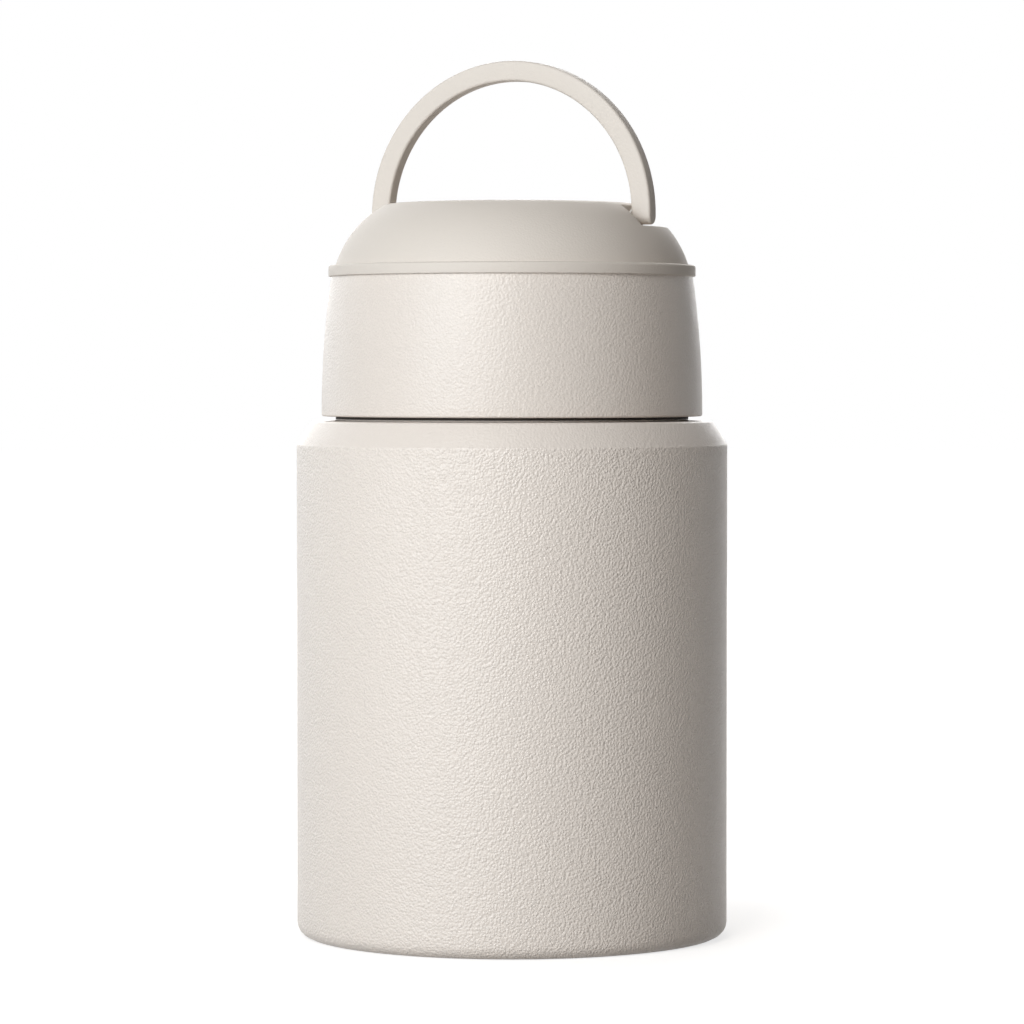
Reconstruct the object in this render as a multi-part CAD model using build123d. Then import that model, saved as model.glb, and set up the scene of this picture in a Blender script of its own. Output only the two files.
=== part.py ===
"""Insulated food jar: a vacuum-walled steel vessel with a screw lid and a folding carry handle.

Millimetres, +Z up. The origin is the centre of the base, on the surface that the jar stands on.
The handle's pivots lie on a line along X, and the handle folds back towards +Y.
"""

from build123d import *
from math import degrees, sqrt
import os

os.makedirs("parts", exist_ok=True)

# ---------------------------------------------------------------- outer shell and base
body_radius = 47.5
wall_top = 108.3  # where the straight wall meets the sloping shoulder
shoulder_rise = 5.3
shoulder_inset = 3.3
shoulder_round = 1.0
shoulder_width = 9.6  # from the straight wall in to the neck
shell_wall = 0.5
neck_height = 18.9
collar_step = 1.0  # the plain band at the foot of the neck
collar_height = 2.0
base_seam = 6.0  # height of the butt joint between shell and base
base_corner = 3.0
base_wall = 0.6
foot_width = 2.5
foot_slope = 0.8
base_recess = 1.6
dimple_radius = 3.5  # the well for the vacuum seal
dimple_rise = 1.4
vent_radius = 0.6
seal_bead_gap = 0.5
seal_bead_height = 1.1
cover_thickness = 0.8
cover_gap = 0.4

# ---------------------------------------------------------------- inner vessel
vacuum_gap = 4.5
neck_gap = 1.7
vessel_wall = 0.5
vessel_floor = 11.0
vessel_corner = 7.0
vessel_shoulder_drop = 6.3  # start of the inner shoulder, below the top of the wall
vessel_shoulder_margin = 1.6  # end of the inner shoulder, below the top of the shoulder
vessel_shoulder_round = 4.0
mouth_round = 1.2
foil_thickness = 0.1
foil_gap = 0.1
foil_margin = 5.0
getter_radius = 4.3
getter_height = 2.4
getter_offset = 18.0
getter_gap = 0.1
holder_wall = 0.5
holder_height = 3.0

# ---------------------------------------------------------------- thread
thread_starts = 3
thread_lead = 12.0
thread_height = 7.2  # lowest turn of the neck's thread, above the shoulder
neck_ridge_depth = 0.9
lid_ridge_depth = 1.1
ridge_root = 1.8
ridge_tip = 0.8
ridge_sink = 0.25
neck_ridge_arc = 140.0
lid_ridge_arc = 90.0
lid_ridge_lag = 25.0
thread_drop = 1.4  # how far the lid's ridges lie under the neck's
thread_clearance = 0.5  # from the neck's crests to the lid's bore

# ---------------------------------------------------------------- lid
lid_gap = 1.0  # open line between the shoulder and the closed lid
skirt_wall = 2.1
sleeve_wall = 0.5
sleeve_headroom = 12.35  # top of the sleeve, above the mouth's rim
sleeve_taper = 2.1
sleeve_curve = 216.0
sleeve_hem = 1.2
sleeve_hem_round = 0.45
sleeve_gap = 0.1
lid_wall = 1.6
flange_lip = 0.57
flange_height = 2.45
flange_round = 0.6
ledge_thickness = 2.0
ledge_gap = 0.2
seal_thickness = 2.2
seal_overhang = 0.3
seal_gap = 0.05
seal_round = 0.4
plug_gap = 0.8
plug_depth = 8.0  # how far the plug reaches below the mouth's rim
plug_wall = 1.8
plug_corner = 1.2
plug_flange_width = 3.0
plug_flange_height = 1.6
retainer_step = 0.4  # the lip that keeps the seal ring on the plug
retainer_width = 1.2
retainer_gap = 0.3

# ---------------------------------------------------------------- dome and insulation
flange_ledge = 1.57  # open top of the flange, outside the dome
dome_spread = 11.3
dome_height = 13.5
dome_curve = 22.5
dome_rim_round = 4.0
dome_wall = 2.0
spigot_length = 6.0
spigot_wall = 1.5
spigot_gap = 0.2
foam_gap = 0.3
foam_step = 4.2

# ---------------------------------------------------------------- handle and pivots
handle_setback = 0.54  # from the channel's outer edge in to the handle
handle_width = 4.47
handle_thickness = 3.83
handle_edge = 0.6
leg_length = 0.67  # straight part of each leg, above its pivot
leg_floor_gap = 0.335
plateau_gap = 0.42
channel_lead = 10.3  # degrees that the channel runs on in front of the pivots
pivot_drop = 3.0  # the pivots, below the top of the lid
pin_radius = 1.0
pin_running = 0.04
pin_reach = 3.0
pin_end_gap = 0.2
pin_head_radius = 1.8
pin_head_height = 0.8
pin_head_gap = 0.1
boss_radius = 2.4
boss_length = 2.0
washer_radius = 1.7
washer_seat = 1.0
washer_gap = 0.06
washer_face_gap = 0.1

# ---------------------------------------------------------------- heights, worked out
shoulder_top = wall_top + shoulder_rise
neck_top = shoulder_top + neck_height
rim_top = neck_top + vessel_wall
lid_bottom = shoulder_top + lid_gap
sleeve_top = rim_top + sleeve_headroom
flange_top = sleeve_top + flange_height
dome_top = flange_top + dome_height
seal_top = rim_top + seal_thickness
ledge_top = seal_top + ledge_thickness
plug_bottom = rim_top - plug_depth
plug_top = ledge_top + plug_flange_height
pivot_height = dome_top - pivot_drop
arch_centre = pivot_height + leg_length
channel_floor = pivot_height - handle_thickness / 2 - leg_floor_gap
base_plate_top = base_recess + base_wall

# ---------------------------------------------------------------- radii, worked out
neck_radius = body_radius - shoulder_width
collar_radius = neck_radius + collar_step
vessel_radius = body_radius - shell_wall - vacuum_gap - vessel_wall
mouth_radius = neck_radius - shell_wall - neck_gap - vessel_wall
foot_inner = body_radius - base_corner - foot_width
lid_bore = neck_radius + neck_ridge_depth + thread_clearance
skirt_radius = lid_bore + skirt_wall
sleeve_bottom_radius = skirt_radius + sleeve_gap + sleeve_wall
sleeve_top_radius = sleeve_bottom_radius - sleeve_taper
flange_radius = sleeve_top_radius + flange_lip
chamber_radius = sleeve_top_radius - sleeve_wall - sleeve_gap - lid_wall
plug_radius = mouth_radius - plug_gap
dome_foot_radius = flange_radius - flange_ledge
dome_top_radius = dome_foot_radius - dome_spread
spigot_radius = chamber_radius - spigot_gap


def moved_sideways(points, distance):
    """A run of points moved to its left by a distance, with mitred corners."""
    places = [Vector(*point) for point in points]
    sides = []
    for here, there in zip(places, places[1:]):
        along = (there - here).normalized()
        sides.append(Vector(-along.Y, along.X))
    moved = [places[0] + sides[0] * distance]
    for corner, before, after in zip(places[1:], sides, sides[1:]):
        moved.append(corner + (before + after) * (distance / (1 + before.dot(after))))
    moved.append(places[-1] + sides[-1] * distance)
    return moved


def rounded(face, place, radius):
    """A flat face with the corner nearest a place rounded."""
    corner = face.vertices().sort_by_distance(Vector(*place))[0]
    return fillet(corner, radius)


def polygon(*points):
    """A face from its corners, drawn as radius and height."""
    return make_face(Polyline(*points, close=True))


def sheet(points, wall, rounds):
    """A formed sheet's section: a run of points and the same run moved left by the wall.

    Rounds gives a bend radius on the points' own side for each corner, by its place in the run.
    """
    other = moved_sideways(points, wall)
    face = polygon(*points, *reversed(other))
    for index, radius in rounds.items():
        before = Vector(*points[index]) - Vector(*points[index - 1])
        after = Vector(*points[index + 1]) - Vector(*points[index])
        turn = 1 if before.cross(after).Z > 0 else -1
        face = rounded(face, points[index], radius)
        face = rounded(face, other[index], radius - turn * wall)
    return face


def turned(face, arc=360.0):
    """Revolve a section about the jar's axis, starting at +X and turning towards +Y."""
    return revolve(Plane.XZ * face, Axis.Z, arc)


def disc(radius, low, high):
    """A solid round plate about the jar's axis."""
    return turned(polygon((0, low), (radius, low), (radius, high), (0, high)))


def ring(inner, outer, low, high):
    """A plain ring about the jar's axis."""
    return turned(polygon((inner, low), (outer, low), (outer, high), (inner, high)))


def cross_rod(radius, start, end):
    """A round bar on the pivots' line, from one distance along X to another."""
    return Plane.YZ * Pos(0, pivot_height, start) * extrude(Circle(radius), end - start)


def both_sides(piece):
    """A piece on the +X side together with its mirror image."""
    return piece + mirror(piece, Plane.YZ)


def bulged(start, end, curve):
    """An arc between two places in a section that swells away from the axis."""
    low, high = Vector(*start), Vector(*end)
    half = (high - low).length / 2
    along = (high - low).normalized()
    outwards = Vector(along.Y, -along.X)
    swell = curve - sqrt(curve**2 - half**2)
    return ThreePointArc(low, (low + high) / 2 + outwards * swell, high)


def thread_ridge(root_radius, depth, arc, turn, height):
    """One start of a thread: a ridge that climbs round a radius, from a turn in degrees.

    A positive depth stands out from the neck, and a negative one into the lid's bore.
    """
    sunk = root_radius - ridge_sink if depth > 0 else root_radius + ridge_sink
    crest = root_radius + depth
    section = polygon(
        (sunk, -ridge_root / 2),
        (root_radius, -ridge_root / 2),
        (crest, -ridge_tip / 2),
        (crest, ridge_tip / 2),
        (root_radius, ridge_root / 2),
        (sunk, ridge_root / 2),
    )
    path = Helix(thread_lead, thread_lead * arc / 360, root_radius)
    ridge = sweep(Plane.XZ * section, path, is_frenet=True)
    return Pos(0, 0, height) * Rot(0, 0, turn) * ridge


# ---------------------------------------------------------------- the vessel's pieces
def outer_shell():
    """Straight wall, sloping shoulder and threaded neck, pressed from one tube."""
    points = [
        (body_radius, base_seam),
        (body_radius, wall_top),
        (body_radius - shoulder_inset, shoulder_top),
        (collar_radius, shoulder_top),
        (collar_radius, shoulder_top + collar_height),
        (neck_radius, shoulder_top + collar_height + collar_step),
        (neck_radius, neck_top),
    ]
    shell = turned(sheet(points, shell_wall, {2: shoulder_round}))
    for start in range(thread_starts):
        turn = start * 360 / thread_starts
        height = shoulder_top + thread_height
        shell += thread_ridge(neck_radius, neck_ridge_depth, neck_ridge_arc, turn, height)
    return shell


def outer_base():
    """Base pressing with a round corner, a ring to stand on and the vacuum seal's well."""
    points = [
        (vent_radius, base_recess + dimple_rise),
        (dimple_radius, base_recess + dimple_rise),
        (dimple_radius, base_recess),
        (foot_inner - foot_slope, base_recess),
        (foot_inner, 0),
        (body_radius, 0),
        (body_radius, base_seam),
    ]
    return turned(sheet(points, base_wall, {5: base_corner}))


def base_cover():
    """Thin disc let into the base's recess, over the vacuum seal."""
    radius = foot_inner - foot_slope - cover_gap
    return disc(radius, base_recess - cover_thickness, base_recess)


def vacuum_seal():
    """Glass bead that closes the vent hole after the space is pumped out."""
    top = base_recess + dimple_rise
    return disc(dimple_radius - seal_bead_gap, top - seal_bead_height, top)


def inner_vessel():
    """The food space: a drawn cup whose rolled rim is welded to the top of the neck."""
    points = [
        (0, vessel_floor),
        (vessel_radius, vessel_floor),
        (vessel_radius, wall_top - vessel_shoulder_drop),
        (mouth_radius, shoulder_top - vessel_shoulder_margin),
        (mouth_radius, rim_top),
        (neck_radius, rim_top),
    ]
    bend = vessel_shoulder_round
    rounds = {1: vessel_corner, 2: bend, 3: bend, 4: mouth_round}
    return turned(sheet(points, -vessel_wall, rounds))


def heat_shield():
    """Copper foil wrapped round the inner vessel, inside the vacuum."""
    inner = vessel_radius + vessel_wall + foil_gap
    low = vessel_floor + vessel_corner + foil_margin
    high = wall_top - vessel_shoulder_drop - foil_margin
    return ring(inner, inner + foil_thickness, low, high)


def getter_holder():
    """Small open cup, welded to the base inside the vacuum."""
    inside = getter_radius + getter_gap
    cup = disc(inside + holder_wall, base_plate_top, base_plate_top + holder_height)
    cup -= disc(inside, base_plate_top + holder_wall, base_plate_top + holder_height)
    return Pos(getter_offset, 0, 0) * cup


def getter():
    """Tablet that soaks up the last gas in the vacuum."""
    low = base_plate_top + holder_wall
    return Pos(getter_offset, 0, 0) * disc(getter_radius, low, low + getter_height)


# ---------------------------------------------------------------- the lid's pieces
def lid_sleeve():
    """Powder-coated steel band round the lid, hemmed in at its lower edge."""
    low, high = sleeve_bottom_radius, sleeve_top_radius
    hem = lid_bottom + sleeve_wall
    outside = bulged((low, lid_bottom), (high, sleeve_top), sleeve_curve)
    inside = bulged((low - sleeve_wall, hem), (high - sleeve_wall, sleeve_top), sleeve_curve)
    edge = low - sleeve_hem
    bottom = Polyline((low - sleeve_wall, hem), (edge, hem), (edge, lid_bottom), (low, lid_bottom))
    top = Line((high, sleeve_top), (high - sleeve_wall, sleeve_top))
    face = make_face([outside, inside, bottom, top])
    return turned(rounded(face, (low, lid_bottom), sleeve_hem_round))


def lid_body():
    """Moulded body of the lid: threaded skirt, ledge for the plug, and the flange on top."""
    foot = lid_bottom + sleeve_wall
    top_radius = sleeve_top_radius - sleeve_wall - sleeve_gap
    outside = bulged((skirt_radius, foot), (top_radius, sleeve_top), sleeve_curve)
    rest = Polyline(
        (top_radius, sleeve_top),
        (flange_radius, sleeve_top),
        (flange_radius, flange_top),
        (chamber_radius, flange_top),
        (chamber_radius, ledge_top),
        (plug_radius + ledge_gap, ledge_top),
        (plug_radius + ledge_gap, seal_top),
        (lid_bore, seal_top),
        (lid_bore, foot),
        (skirt_radius, foot),
    )
    face = rounded(make_face([outside, rest]), (flange_radius, flange_top), flange_round)
    body = turned(face)
    low = shoulder_top + thread_height - thread_drop + thread_lead * lid_ridge_lag / 360
    for start in range(thread_starts):
        turn = start * 360 / thread_starts + lid_ridge_lag
        body += thread_ridge(lid_bore, -lid_ridge_depth, lid_ridge_arc, turn, low)
    return body


def lid_plug():
    """Inner cover: a shallow cup that hangs in the mouth and carries the seal ring."""
    inside = plug_radius - plug_wall
    flange = plug_radius + plug_flange_width
    lip = plug_radius + retainer_step
    lip_top = rim_top - retainer_gap
    face = polygon(
        (0, plug_bottom),
        (plug_radius, plug_bottom),
        (plug_radius, lip_top - retainer_width),
        (lip, lip_top - retainer_width + retainer_step),
        (lip, lip_top - retainer_step),
        (plug_radius, lip_top),
        (plug_radius, ledge_top),
        (flange, ledge_top),
        (flange, plug_top),
        (inside, plug_top),
        (inside, plug_bottom + plug_wall),
        (0, plug_bottom + plug_wall),
    )
    return turned(rounded(face, (plug_radius, plug_bottom), plug_corner))


def seal_ring():
    """Silicone ring between the lid's ledge and the mouth's rim."""
    inner, outer = plug_radius + seal_gap, neck_radius + seal_overhang
    seal = ring(inner, outer, rim_top, seal_top)
    outside = seal.edges().filter_by(GeomType.CIRCLE).group_by(SortBy.RADIUS)[-1]
    return fillet(outside, seal_round)


def dome_radius(height, inset=0.0):
    """The dome's radius at a height, or that of a surface set in from it."""
    foot = Vector(dome_foot_radius, flange_top)
    rim = Vector(dome_top_radius, dome_top)
    half = (rim - foot).length / 2
    along = (rim - foot).normalized()
    inwards = Vector(-along.Y, along.X)
    centre = (foot + rim) / 2 + inwards * sqrt(dome_curve**2 - half**2)
    return centre.X + sqrt((dome_curve - inset) ** 2 - (height - centre.Y) ** 2)


def dome_section(top, inset):
    """Half of the dome's section, from the flange up to a height."""
    middle = (flange_top + top) / 2
    side = ThreePointArc(
        (dome_radius(flange_top, inset), flange_top),
        (dome_radius(middle, inset), middle),
        (dome_radius(top, inset), top),
    )
    return make_face([side, Polyline(side @ 1, (0, top), (0, flange_top), side @ 0)])


def channel(grow):
    """The space round the back of the dome that the folded handle lies in, grown by a wall."""
    inner = plateau_radius - grow
    low = channel_floor - grow
    far, high = body_radius, dome_top + handle_width
    section = polygon((inner, low), (far, low), (far, high), (inner, high))
    lead = channel_lead + degrees(grow / plateau_radius)
    return Rot(0, 0, -lead) * turned(section, 180 + 2 * lead)


handle_outer = dome_radius(channel_floor) - handle_setback
handle_inner = handle_outer - handle_width
plateau_radius = handle_inner - plateau_gap
boss_start = plateau_radius - dome_wall - boss_length


def lid_dome():
    """Moulded top cover with the handle's channel, its pivot bosses and a spigot below."""
    outside = rounded(dome_section(dome_top, 0), (dome_top_radius, dome_top), dome_rim_round)
    hollow = turned(dome_section(dome_top - dome_wall, dome_wall)) - channel(dome_wall)
    dome = turned(outside) - channel(0) - hollow
    spigot_inner = spigot_radius - spigot_wall
    dome += ring(spigot_inner, spigot_radius, flange_top - spigot_length, flange_top + dome_wall)
    dome += both_sides(cross_rod(boss_radius, boss_start, plateau_radius - washer_seat))
    dome -= both_sides(cross_rod(pin_radius + pin_running, boss_start, handle_inner))
    washer_hole = washer_radius + washer_gap
    dome -= both_sides(cross_rod(washer_hole, plateau_radius - washer_seat, handle_inner))
    # a groove under the top lets the pins' heads in from the middle
    groove_end = boss_start - (handle_inner + pin_reach - boss_start) - pin_head_height
    dome -= both_sides(cross_rod(pin_head_radius + pin_head_gap, groove_end, boss_start))
    return dome


def lid_insulation():
    """Foam core that fills the lid between the plug and the dome."""
    in_plug = plug_radius - plug_wall - foam_gap
    step = flange_top + foam_step
    wide = dome_radius(step, dome_wall) - foam_gap
    narrow = boss_start - pin_head_height - foam_gap
    core = disc(in_plug, plug_bottom + plug_wall, plug_top)
    core += disc(wide, plug_top, step)
    return core + disc(narrow, step, dome_top - dome_wall - foam_gap)


# ---------------------------------------------------------------- the handle's pieces
def handle():
    """Half-ring bail with round leg ends, bored for the pivot pins."""
    section = RectangleRounded(handle_width, handle_thickness, handle_edge)
    middle = (handle_inner + handle_outer) / 2
    leg_end = Plane((middle, 0, pivot_height), x_dir=(1, 0, 0), z_dir=(0, 0, 1)) * section
    leg = extrude(leg_end, leg_length)
    arch_start = Plane((middle, 0, arch_centre), x_dir=(1, 0, 0), z_dir=(0, 0, 1)) * section
    arch = revolve(arch_start, Axis((0, 0, arch_centre), (0, -1, 0)), 180)
    half = Pos(middle, handle_thickness / 4, pivot_height) * Rectangle(
        handle_width, handle_thickness / 2
    )
    leg_round = revolve(leg_end & half, Axis((0, 0, pivot_height), (-1, 0, 0)), 180)
    bail = arch + both_sides(leg + leg_round)
    bore_end = handle_inner + pin_reach + pin_end_gap
    return bail - both_sides(cross_rod(pin_radius + pin_running, 0, bore_end))


def pivot_pins():
    """Two headed pins, put in from inside the dome before the lid is closed."""
    shank = cross_rod(pin_radius, boss_start, handle_inner + pin_reach)
    head = cross_rod(pin_head_radius, boss_start - pin_head_height, boss_start)
    return both_sides(shank + head)


def friction_washers():
    """Two washers let into the dome, which hold the handle where it is put."""
    start, end = plateau_radius - washer_seat, handle_inner - washer_face_gap
    hole = cross_rod(pin_radius + pin_running, start, end)
    return both_sides(cross_rod(washer_radius, start, end) - hole)


pieces = [
    outer_shell,
    outer_base,
    base_cover,
    vacuum_seal,
    inner_vessel,
    heat_shield,
    getter_holder,
    getter,
    lid_sleeve,
    lid_body,
    lid_plug,
    seal_ring,
    lid_dome,
    lid_insulation,
    handle,
    pivot_pins,
    friction_washers,
]
for piece in pieces:
    export_step(piece(), f"parts/{piece.__name__}.step")
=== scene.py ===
"""Finished surfaces of the insulated food jar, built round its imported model.

Metres, +Z up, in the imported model's own frame. The jar stands at the origin, the handle's pivots
lie along X, and the handle folds back towards +Y.
"""

from math import acos, asin, cos, pi, radians, sin, sqrt, tan

import bmesh
import bpy
from mathutils import Matrix, Vector


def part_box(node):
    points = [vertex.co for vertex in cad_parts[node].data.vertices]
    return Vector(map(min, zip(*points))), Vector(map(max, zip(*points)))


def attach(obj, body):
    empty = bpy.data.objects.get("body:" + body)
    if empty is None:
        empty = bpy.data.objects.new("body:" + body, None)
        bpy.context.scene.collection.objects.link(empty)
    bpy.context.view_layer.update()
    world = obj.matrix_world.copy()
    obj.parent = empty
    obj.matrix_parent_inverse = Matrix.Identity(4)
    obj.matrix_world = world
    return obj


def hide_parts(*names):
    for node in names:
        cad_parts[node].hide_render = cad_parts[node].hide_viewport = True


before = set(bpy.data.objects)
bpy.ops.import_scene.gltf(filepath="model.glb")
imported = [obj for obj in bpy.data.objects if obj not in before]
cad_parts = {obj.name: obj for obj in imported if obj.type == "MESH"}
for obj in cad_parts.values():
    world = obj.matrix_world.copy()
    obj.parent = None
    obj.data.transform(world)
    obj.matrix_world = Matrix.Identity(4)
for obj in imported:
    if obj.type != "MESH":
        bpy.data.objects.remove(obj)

bl_info = {
    "name": "Insulated Food Jar",
    "version": (1, 0, 0),
    "blender": (4, 5, 0),
    "location": "3D View > Sidebar > Food Jar",
    "description": "Models the jar's finished pieces, their surfaces and a plain studio",
    "category": "Object",
}

TURN_STEPS = 192  # flat faces in a full turn
CRISP_ANGLE = radians(32)  # an edge that turns more than this is shaded as an edge
ROUND_STEPS = 5  # flat faces in the round of a section's corner
CREST_STEPS = 2  # in each round of a thread's crest
EDGE_STEPS = 3  # in the rounds of the channel's edges
SWELL_STEPS = 12  # up the sleeve's side, and the lid body's under it
RIM_STEPS = 8  # in the round between the dome's side and top
SIDE_STEPS = 8  # down the dome's side to the height of the channel's floor
FOOT_STEPS = 10  # from there to the dome's foot
CEILING_STEPS = 6  # along the curve inside the dome
LEG_STEPS = 24  # in the round end of a leg
MERGE_DISTANCE = 1e-6
WHITE = (1.0, 1.0, 1.0)

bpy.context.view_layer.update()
shell_low, shell_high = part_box("outer_shell")
cover_low, cover_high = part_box("base_cover")
vessel_low, vessel_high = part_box("inner_vessel")
sleeve_low, sleeve_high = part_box("lid_sleeve")
body_low, body_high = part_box("lid_body")
plug_low, plug_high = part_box("lid_plug")
seal_low, seal_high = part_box("seal_ring")
dome_low, dome_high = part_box("lid_dome")
handle_low, handle_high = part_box("handle")


# ---------------------------------------------------------------- settings
def length(name, default, description):
    """A length in metres that a user may change."""
    return bpy.props.FloatProperty(
        name=name, description=description, default=default, unit="LENGTH", precision=5, min=0.0
    )


def turn(name, degrees, description):
    """An angle that a user may change."""
    return bpy.props.FloatProperty(
        name=name, description=description, default=radians(degrees), unit="ROTATION"
    )


def share(name, default, description):
    """A share from 0 to 1 that a user may change."""
    return bpy.props.FloatProperty(
        name=name, description=description, default=default, min=0.0, max=1.0, subtype="FACTOR"
    )


def number(name, default, description):
    """A plain number that a user may change."""
    return bpy.props.FloatProperty(name=name, description=description, default=default, min=0.0)


def colour(name, default, description):
    """A colour that a user may change."""
    return bpy.props.FloatVectorProperty(
        name=name, description=description, default=default, size=3, min=0.0, max=1.0, subtype="COLOR"
    )


class VesselSizes(bpy.types.PropertyGroup):
    """Sizes of the jar's body, base and food space."""

    body_radius: length("Body radius", shell_high.x, "Outside of the straight wall")
    wall_top: length("Wall top", 0.1083, "Height where the wall meets the sloping shoulder")
    shoulder_rise: length("Shoulder rise", 0.0053, "Height of the sloping shoulder")
    shoulder_inset: length("Shoulder inset", 0.0033, "How far the slope comes in")
    shoulder_round: length("Shoulder round", 0.0010, "Round at the top of the slope")
    coat_edge: length("Coated edge", 0.0004, "Round that the coat leaves on a pressed edge")
    shoulder_width: length("Shoulder width", 0.0096, "From the straight wall in to the neck")
    collar_step: length("Collar step", 0.0010, "How far the collar stands out from the neck")
    collar_height: length("Collar height", 0.0020, "Plain band at the foot of the neck")
    gauge: length("Gauge", 0.0005, "Sheet of the outer shell and of the food space")
    base_gauge: length("Base gauge", 0.0006, "Sheet of the base pressing")
    base_corner: length("Base corner", 0.0030, "Outside round at the foot of the jar")
    foot_width: length("Foot width", 0.0025, "Flat ring that the jar stands on")
    foot_slope: length("Foot slope", 0.0008, "How far the foot's inner side leans")
    vent_radius: length("Vent radius", 0.0006, "Hole that the vacuum seal closes")
    dimple_radius: length("Dimple radius", 0.0035, "Well for the vacuum seal")
    dimple_rise: length("Dimple rise", 0.0014, "Depth of that well")
    cover_bead: length("Cover bead", 0.0003, "Depth of the step pressed in the base cover")
    cover_dish: length("Cover dish", 0.0300, "Radius of the middle that the step surrounds")
    mouth_radius: length("Mouth radius", 0.0352, "Inside of the mouth")
    vessel_corner: length("Floor corner", 0.0070, "Round between the food space's wall and floor")
    vessel_bend: length("Vessel bend", 0.0040, "Rounds below the mouth")
    mouth_round: length("Mouth round", 0.0012, "Round of the rolled rim")
    inner_shoulder_low: length("Inner shoulder foot", 0.1020, "Height where the food space narrows")
    inner_shoulder_high: length("Inner shoulder top", 0.1120, "Height where the mouth starts")


class ThreadSizes(bpy.types.PropertyGroup):
    """Sizes of the thread that holds the lid."""

    starts: bpy.props.IntProperty(
        name="Starts", description="Ridges side by side round the neck", default=3, min=1
    )
    lead: length("Lead", 0.0120, "Climb of a ridge in one full turn")
    height: length("Height", 0.0072, "Lowest turn of the neck's thread, above the shoulder")
    drop: length("Drop", 0.0014, "How far the lid's ridges lie under the neck's")
    neck_depth: length("Neck depth", 0.0009, "How far the neck's ridges stand out")
    lid_depth: length("Lid depth", 0.0011, "How far the lid's ridges stand in")
    root: length("Root", 0.0018, "Width of a ridge at its foot")
    tip: length("Tip", 0.0008, "Width of a ridge at its crest")
    softness: length("Softness", 0.0002, "Round along a ridge's crest")
    sink: length("Sink", 0.00025, "How far a ridge's foot lies inside its wall")
    neck_arc: turn("Neck arc", 140, "How far a ridge runs round the neck")
    lid_arc: turn("Lid arc", 90, "How far a ridge runs round the lid's bore")
    lid_lag: turn("Lid lag", 25, "Where the lid's first ridge starts")
    run_in: turn("Run-in", 12, "Stretch over which a ridge rises from its wall")
    clearance: length("Clearance", 0.0005, "From the neck's crests to the lid's bore")


class LidSizes(bpy.types.PropertyGroup):
    """Sizes of the lid's sleeve, body, plug, seal and dome."""

    sleeve_taper: length("Sleeve taper", 0.0021, "How far the sleeve comes in as it climbs")
    sleeve_curve: length("Sleeve curve", 0.216, "Radius of the sleeve's soft swell")
    sleeve_gauge: length("Sleeve gauge", 0.0005, "Sheet of the sleeve")
    sleeve_hem: length("Sleeve hem", 0.0012, "Hem turned in at the lower edge")
    hem_round: length("Hem round", 0.00045, "Outside round of the hem")
    sleeve_gap: length("Sleeve gap", 0.0001, "Between the sleeve and the lid's body")
    lid_wall: length("Lid wall", 0.0016, "Wall of the lid's body above its ledge")
    flange_lip: length("Flange lip", 0.00057, "How far the flange stands out over the sleeve")
    flange_round: length("Flange round", 0.0006, "Round on the flange's upper edge")
    moulded_edge: length("Moulded edge", 0.00015, "Round that a mould leaves on an edge")
    ledge_thickness: length("Ledge thickness", 0.0020, "Ledge that the plug hangs from")
    ledge_gap: length("Ledge gap", 0.0002, "Between the plug and its ledge")
    plug_gap: length("Plug gap", 0.0008, "Between the plug and the mouth")
    plug_wall: length("Plug wall", 0.0018, "Wall of the plug")
    plug_corner: length("Plug corner", 0.0012, "Round at the plug's lower edge")
    plug_flange: length("Plug flange", 0.0016, "Thickness of the plug's flange")
    retainer_step: length("Retainer step", 0.0004, "Lip that keeps the seal on the plug")
    retainer_width: length("Retainer width", 0.0012, "Height of that lip")
    retainer_gap: length("Retainer gap", 0.0003, "From that lip up to the seal")
    plug_dish: length("Plug dish", 0.0004, "Depth of the round dish in the plug's underside")
    dish_radius: length("Dish radius", 0.0270, "Size of that dish")
    seal_gap: length("Seal gap", 0.00005, "Between the plug and the seal ring")
    seal_round: length("Seal round", 0.0004, "Rounds on the seal ring")
    dome_spread: length("Dome spread", 0.0113, "How far the dome comes in as it climbs")
    dome_curve: length("Dome curve", 0.0225, "Radius of the dome's side")
    dome_rim_round: length("Dome rim round", 0.0040, "Round between the dome's side and top")
    dome_wall: length("Dome wall", 0.0020, "Wall of the dome")
    dome_edge: length("Dome edge", 0.0002, "Rounds on the channel's edges")
    spigot_gap: length("Spigot gap", 0.0002, "Between the dome's spigot and the lid's body")
    spigot_wall: length("Spigot wall", 0.0015, "Wall of the spigot")
    plateau_radius: length("Plateau radius", 0.028897, "Inner side of the handle's channel")
    channel_floor: length("Channel floor", 0.15605, "Height of the channel's floor")
    channel_lead: turn("Channel lead", 10.3, "How far the channel runs on past the pivots")


class HandleSizes(bpy.types.PropertyGroup):
    """Sizes of the carry handle."""

    width: length("Width", 0.00447, "Section across the ring")
    edge: length("Edge", 0.0006, "Round on the section's four edges")
    pivot_height: length("Pivot height", 0.1583, "Height of the pivots")
    leg: length("Leg", 0.00067, "Straight part of each leg, above its pivot")


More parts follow.
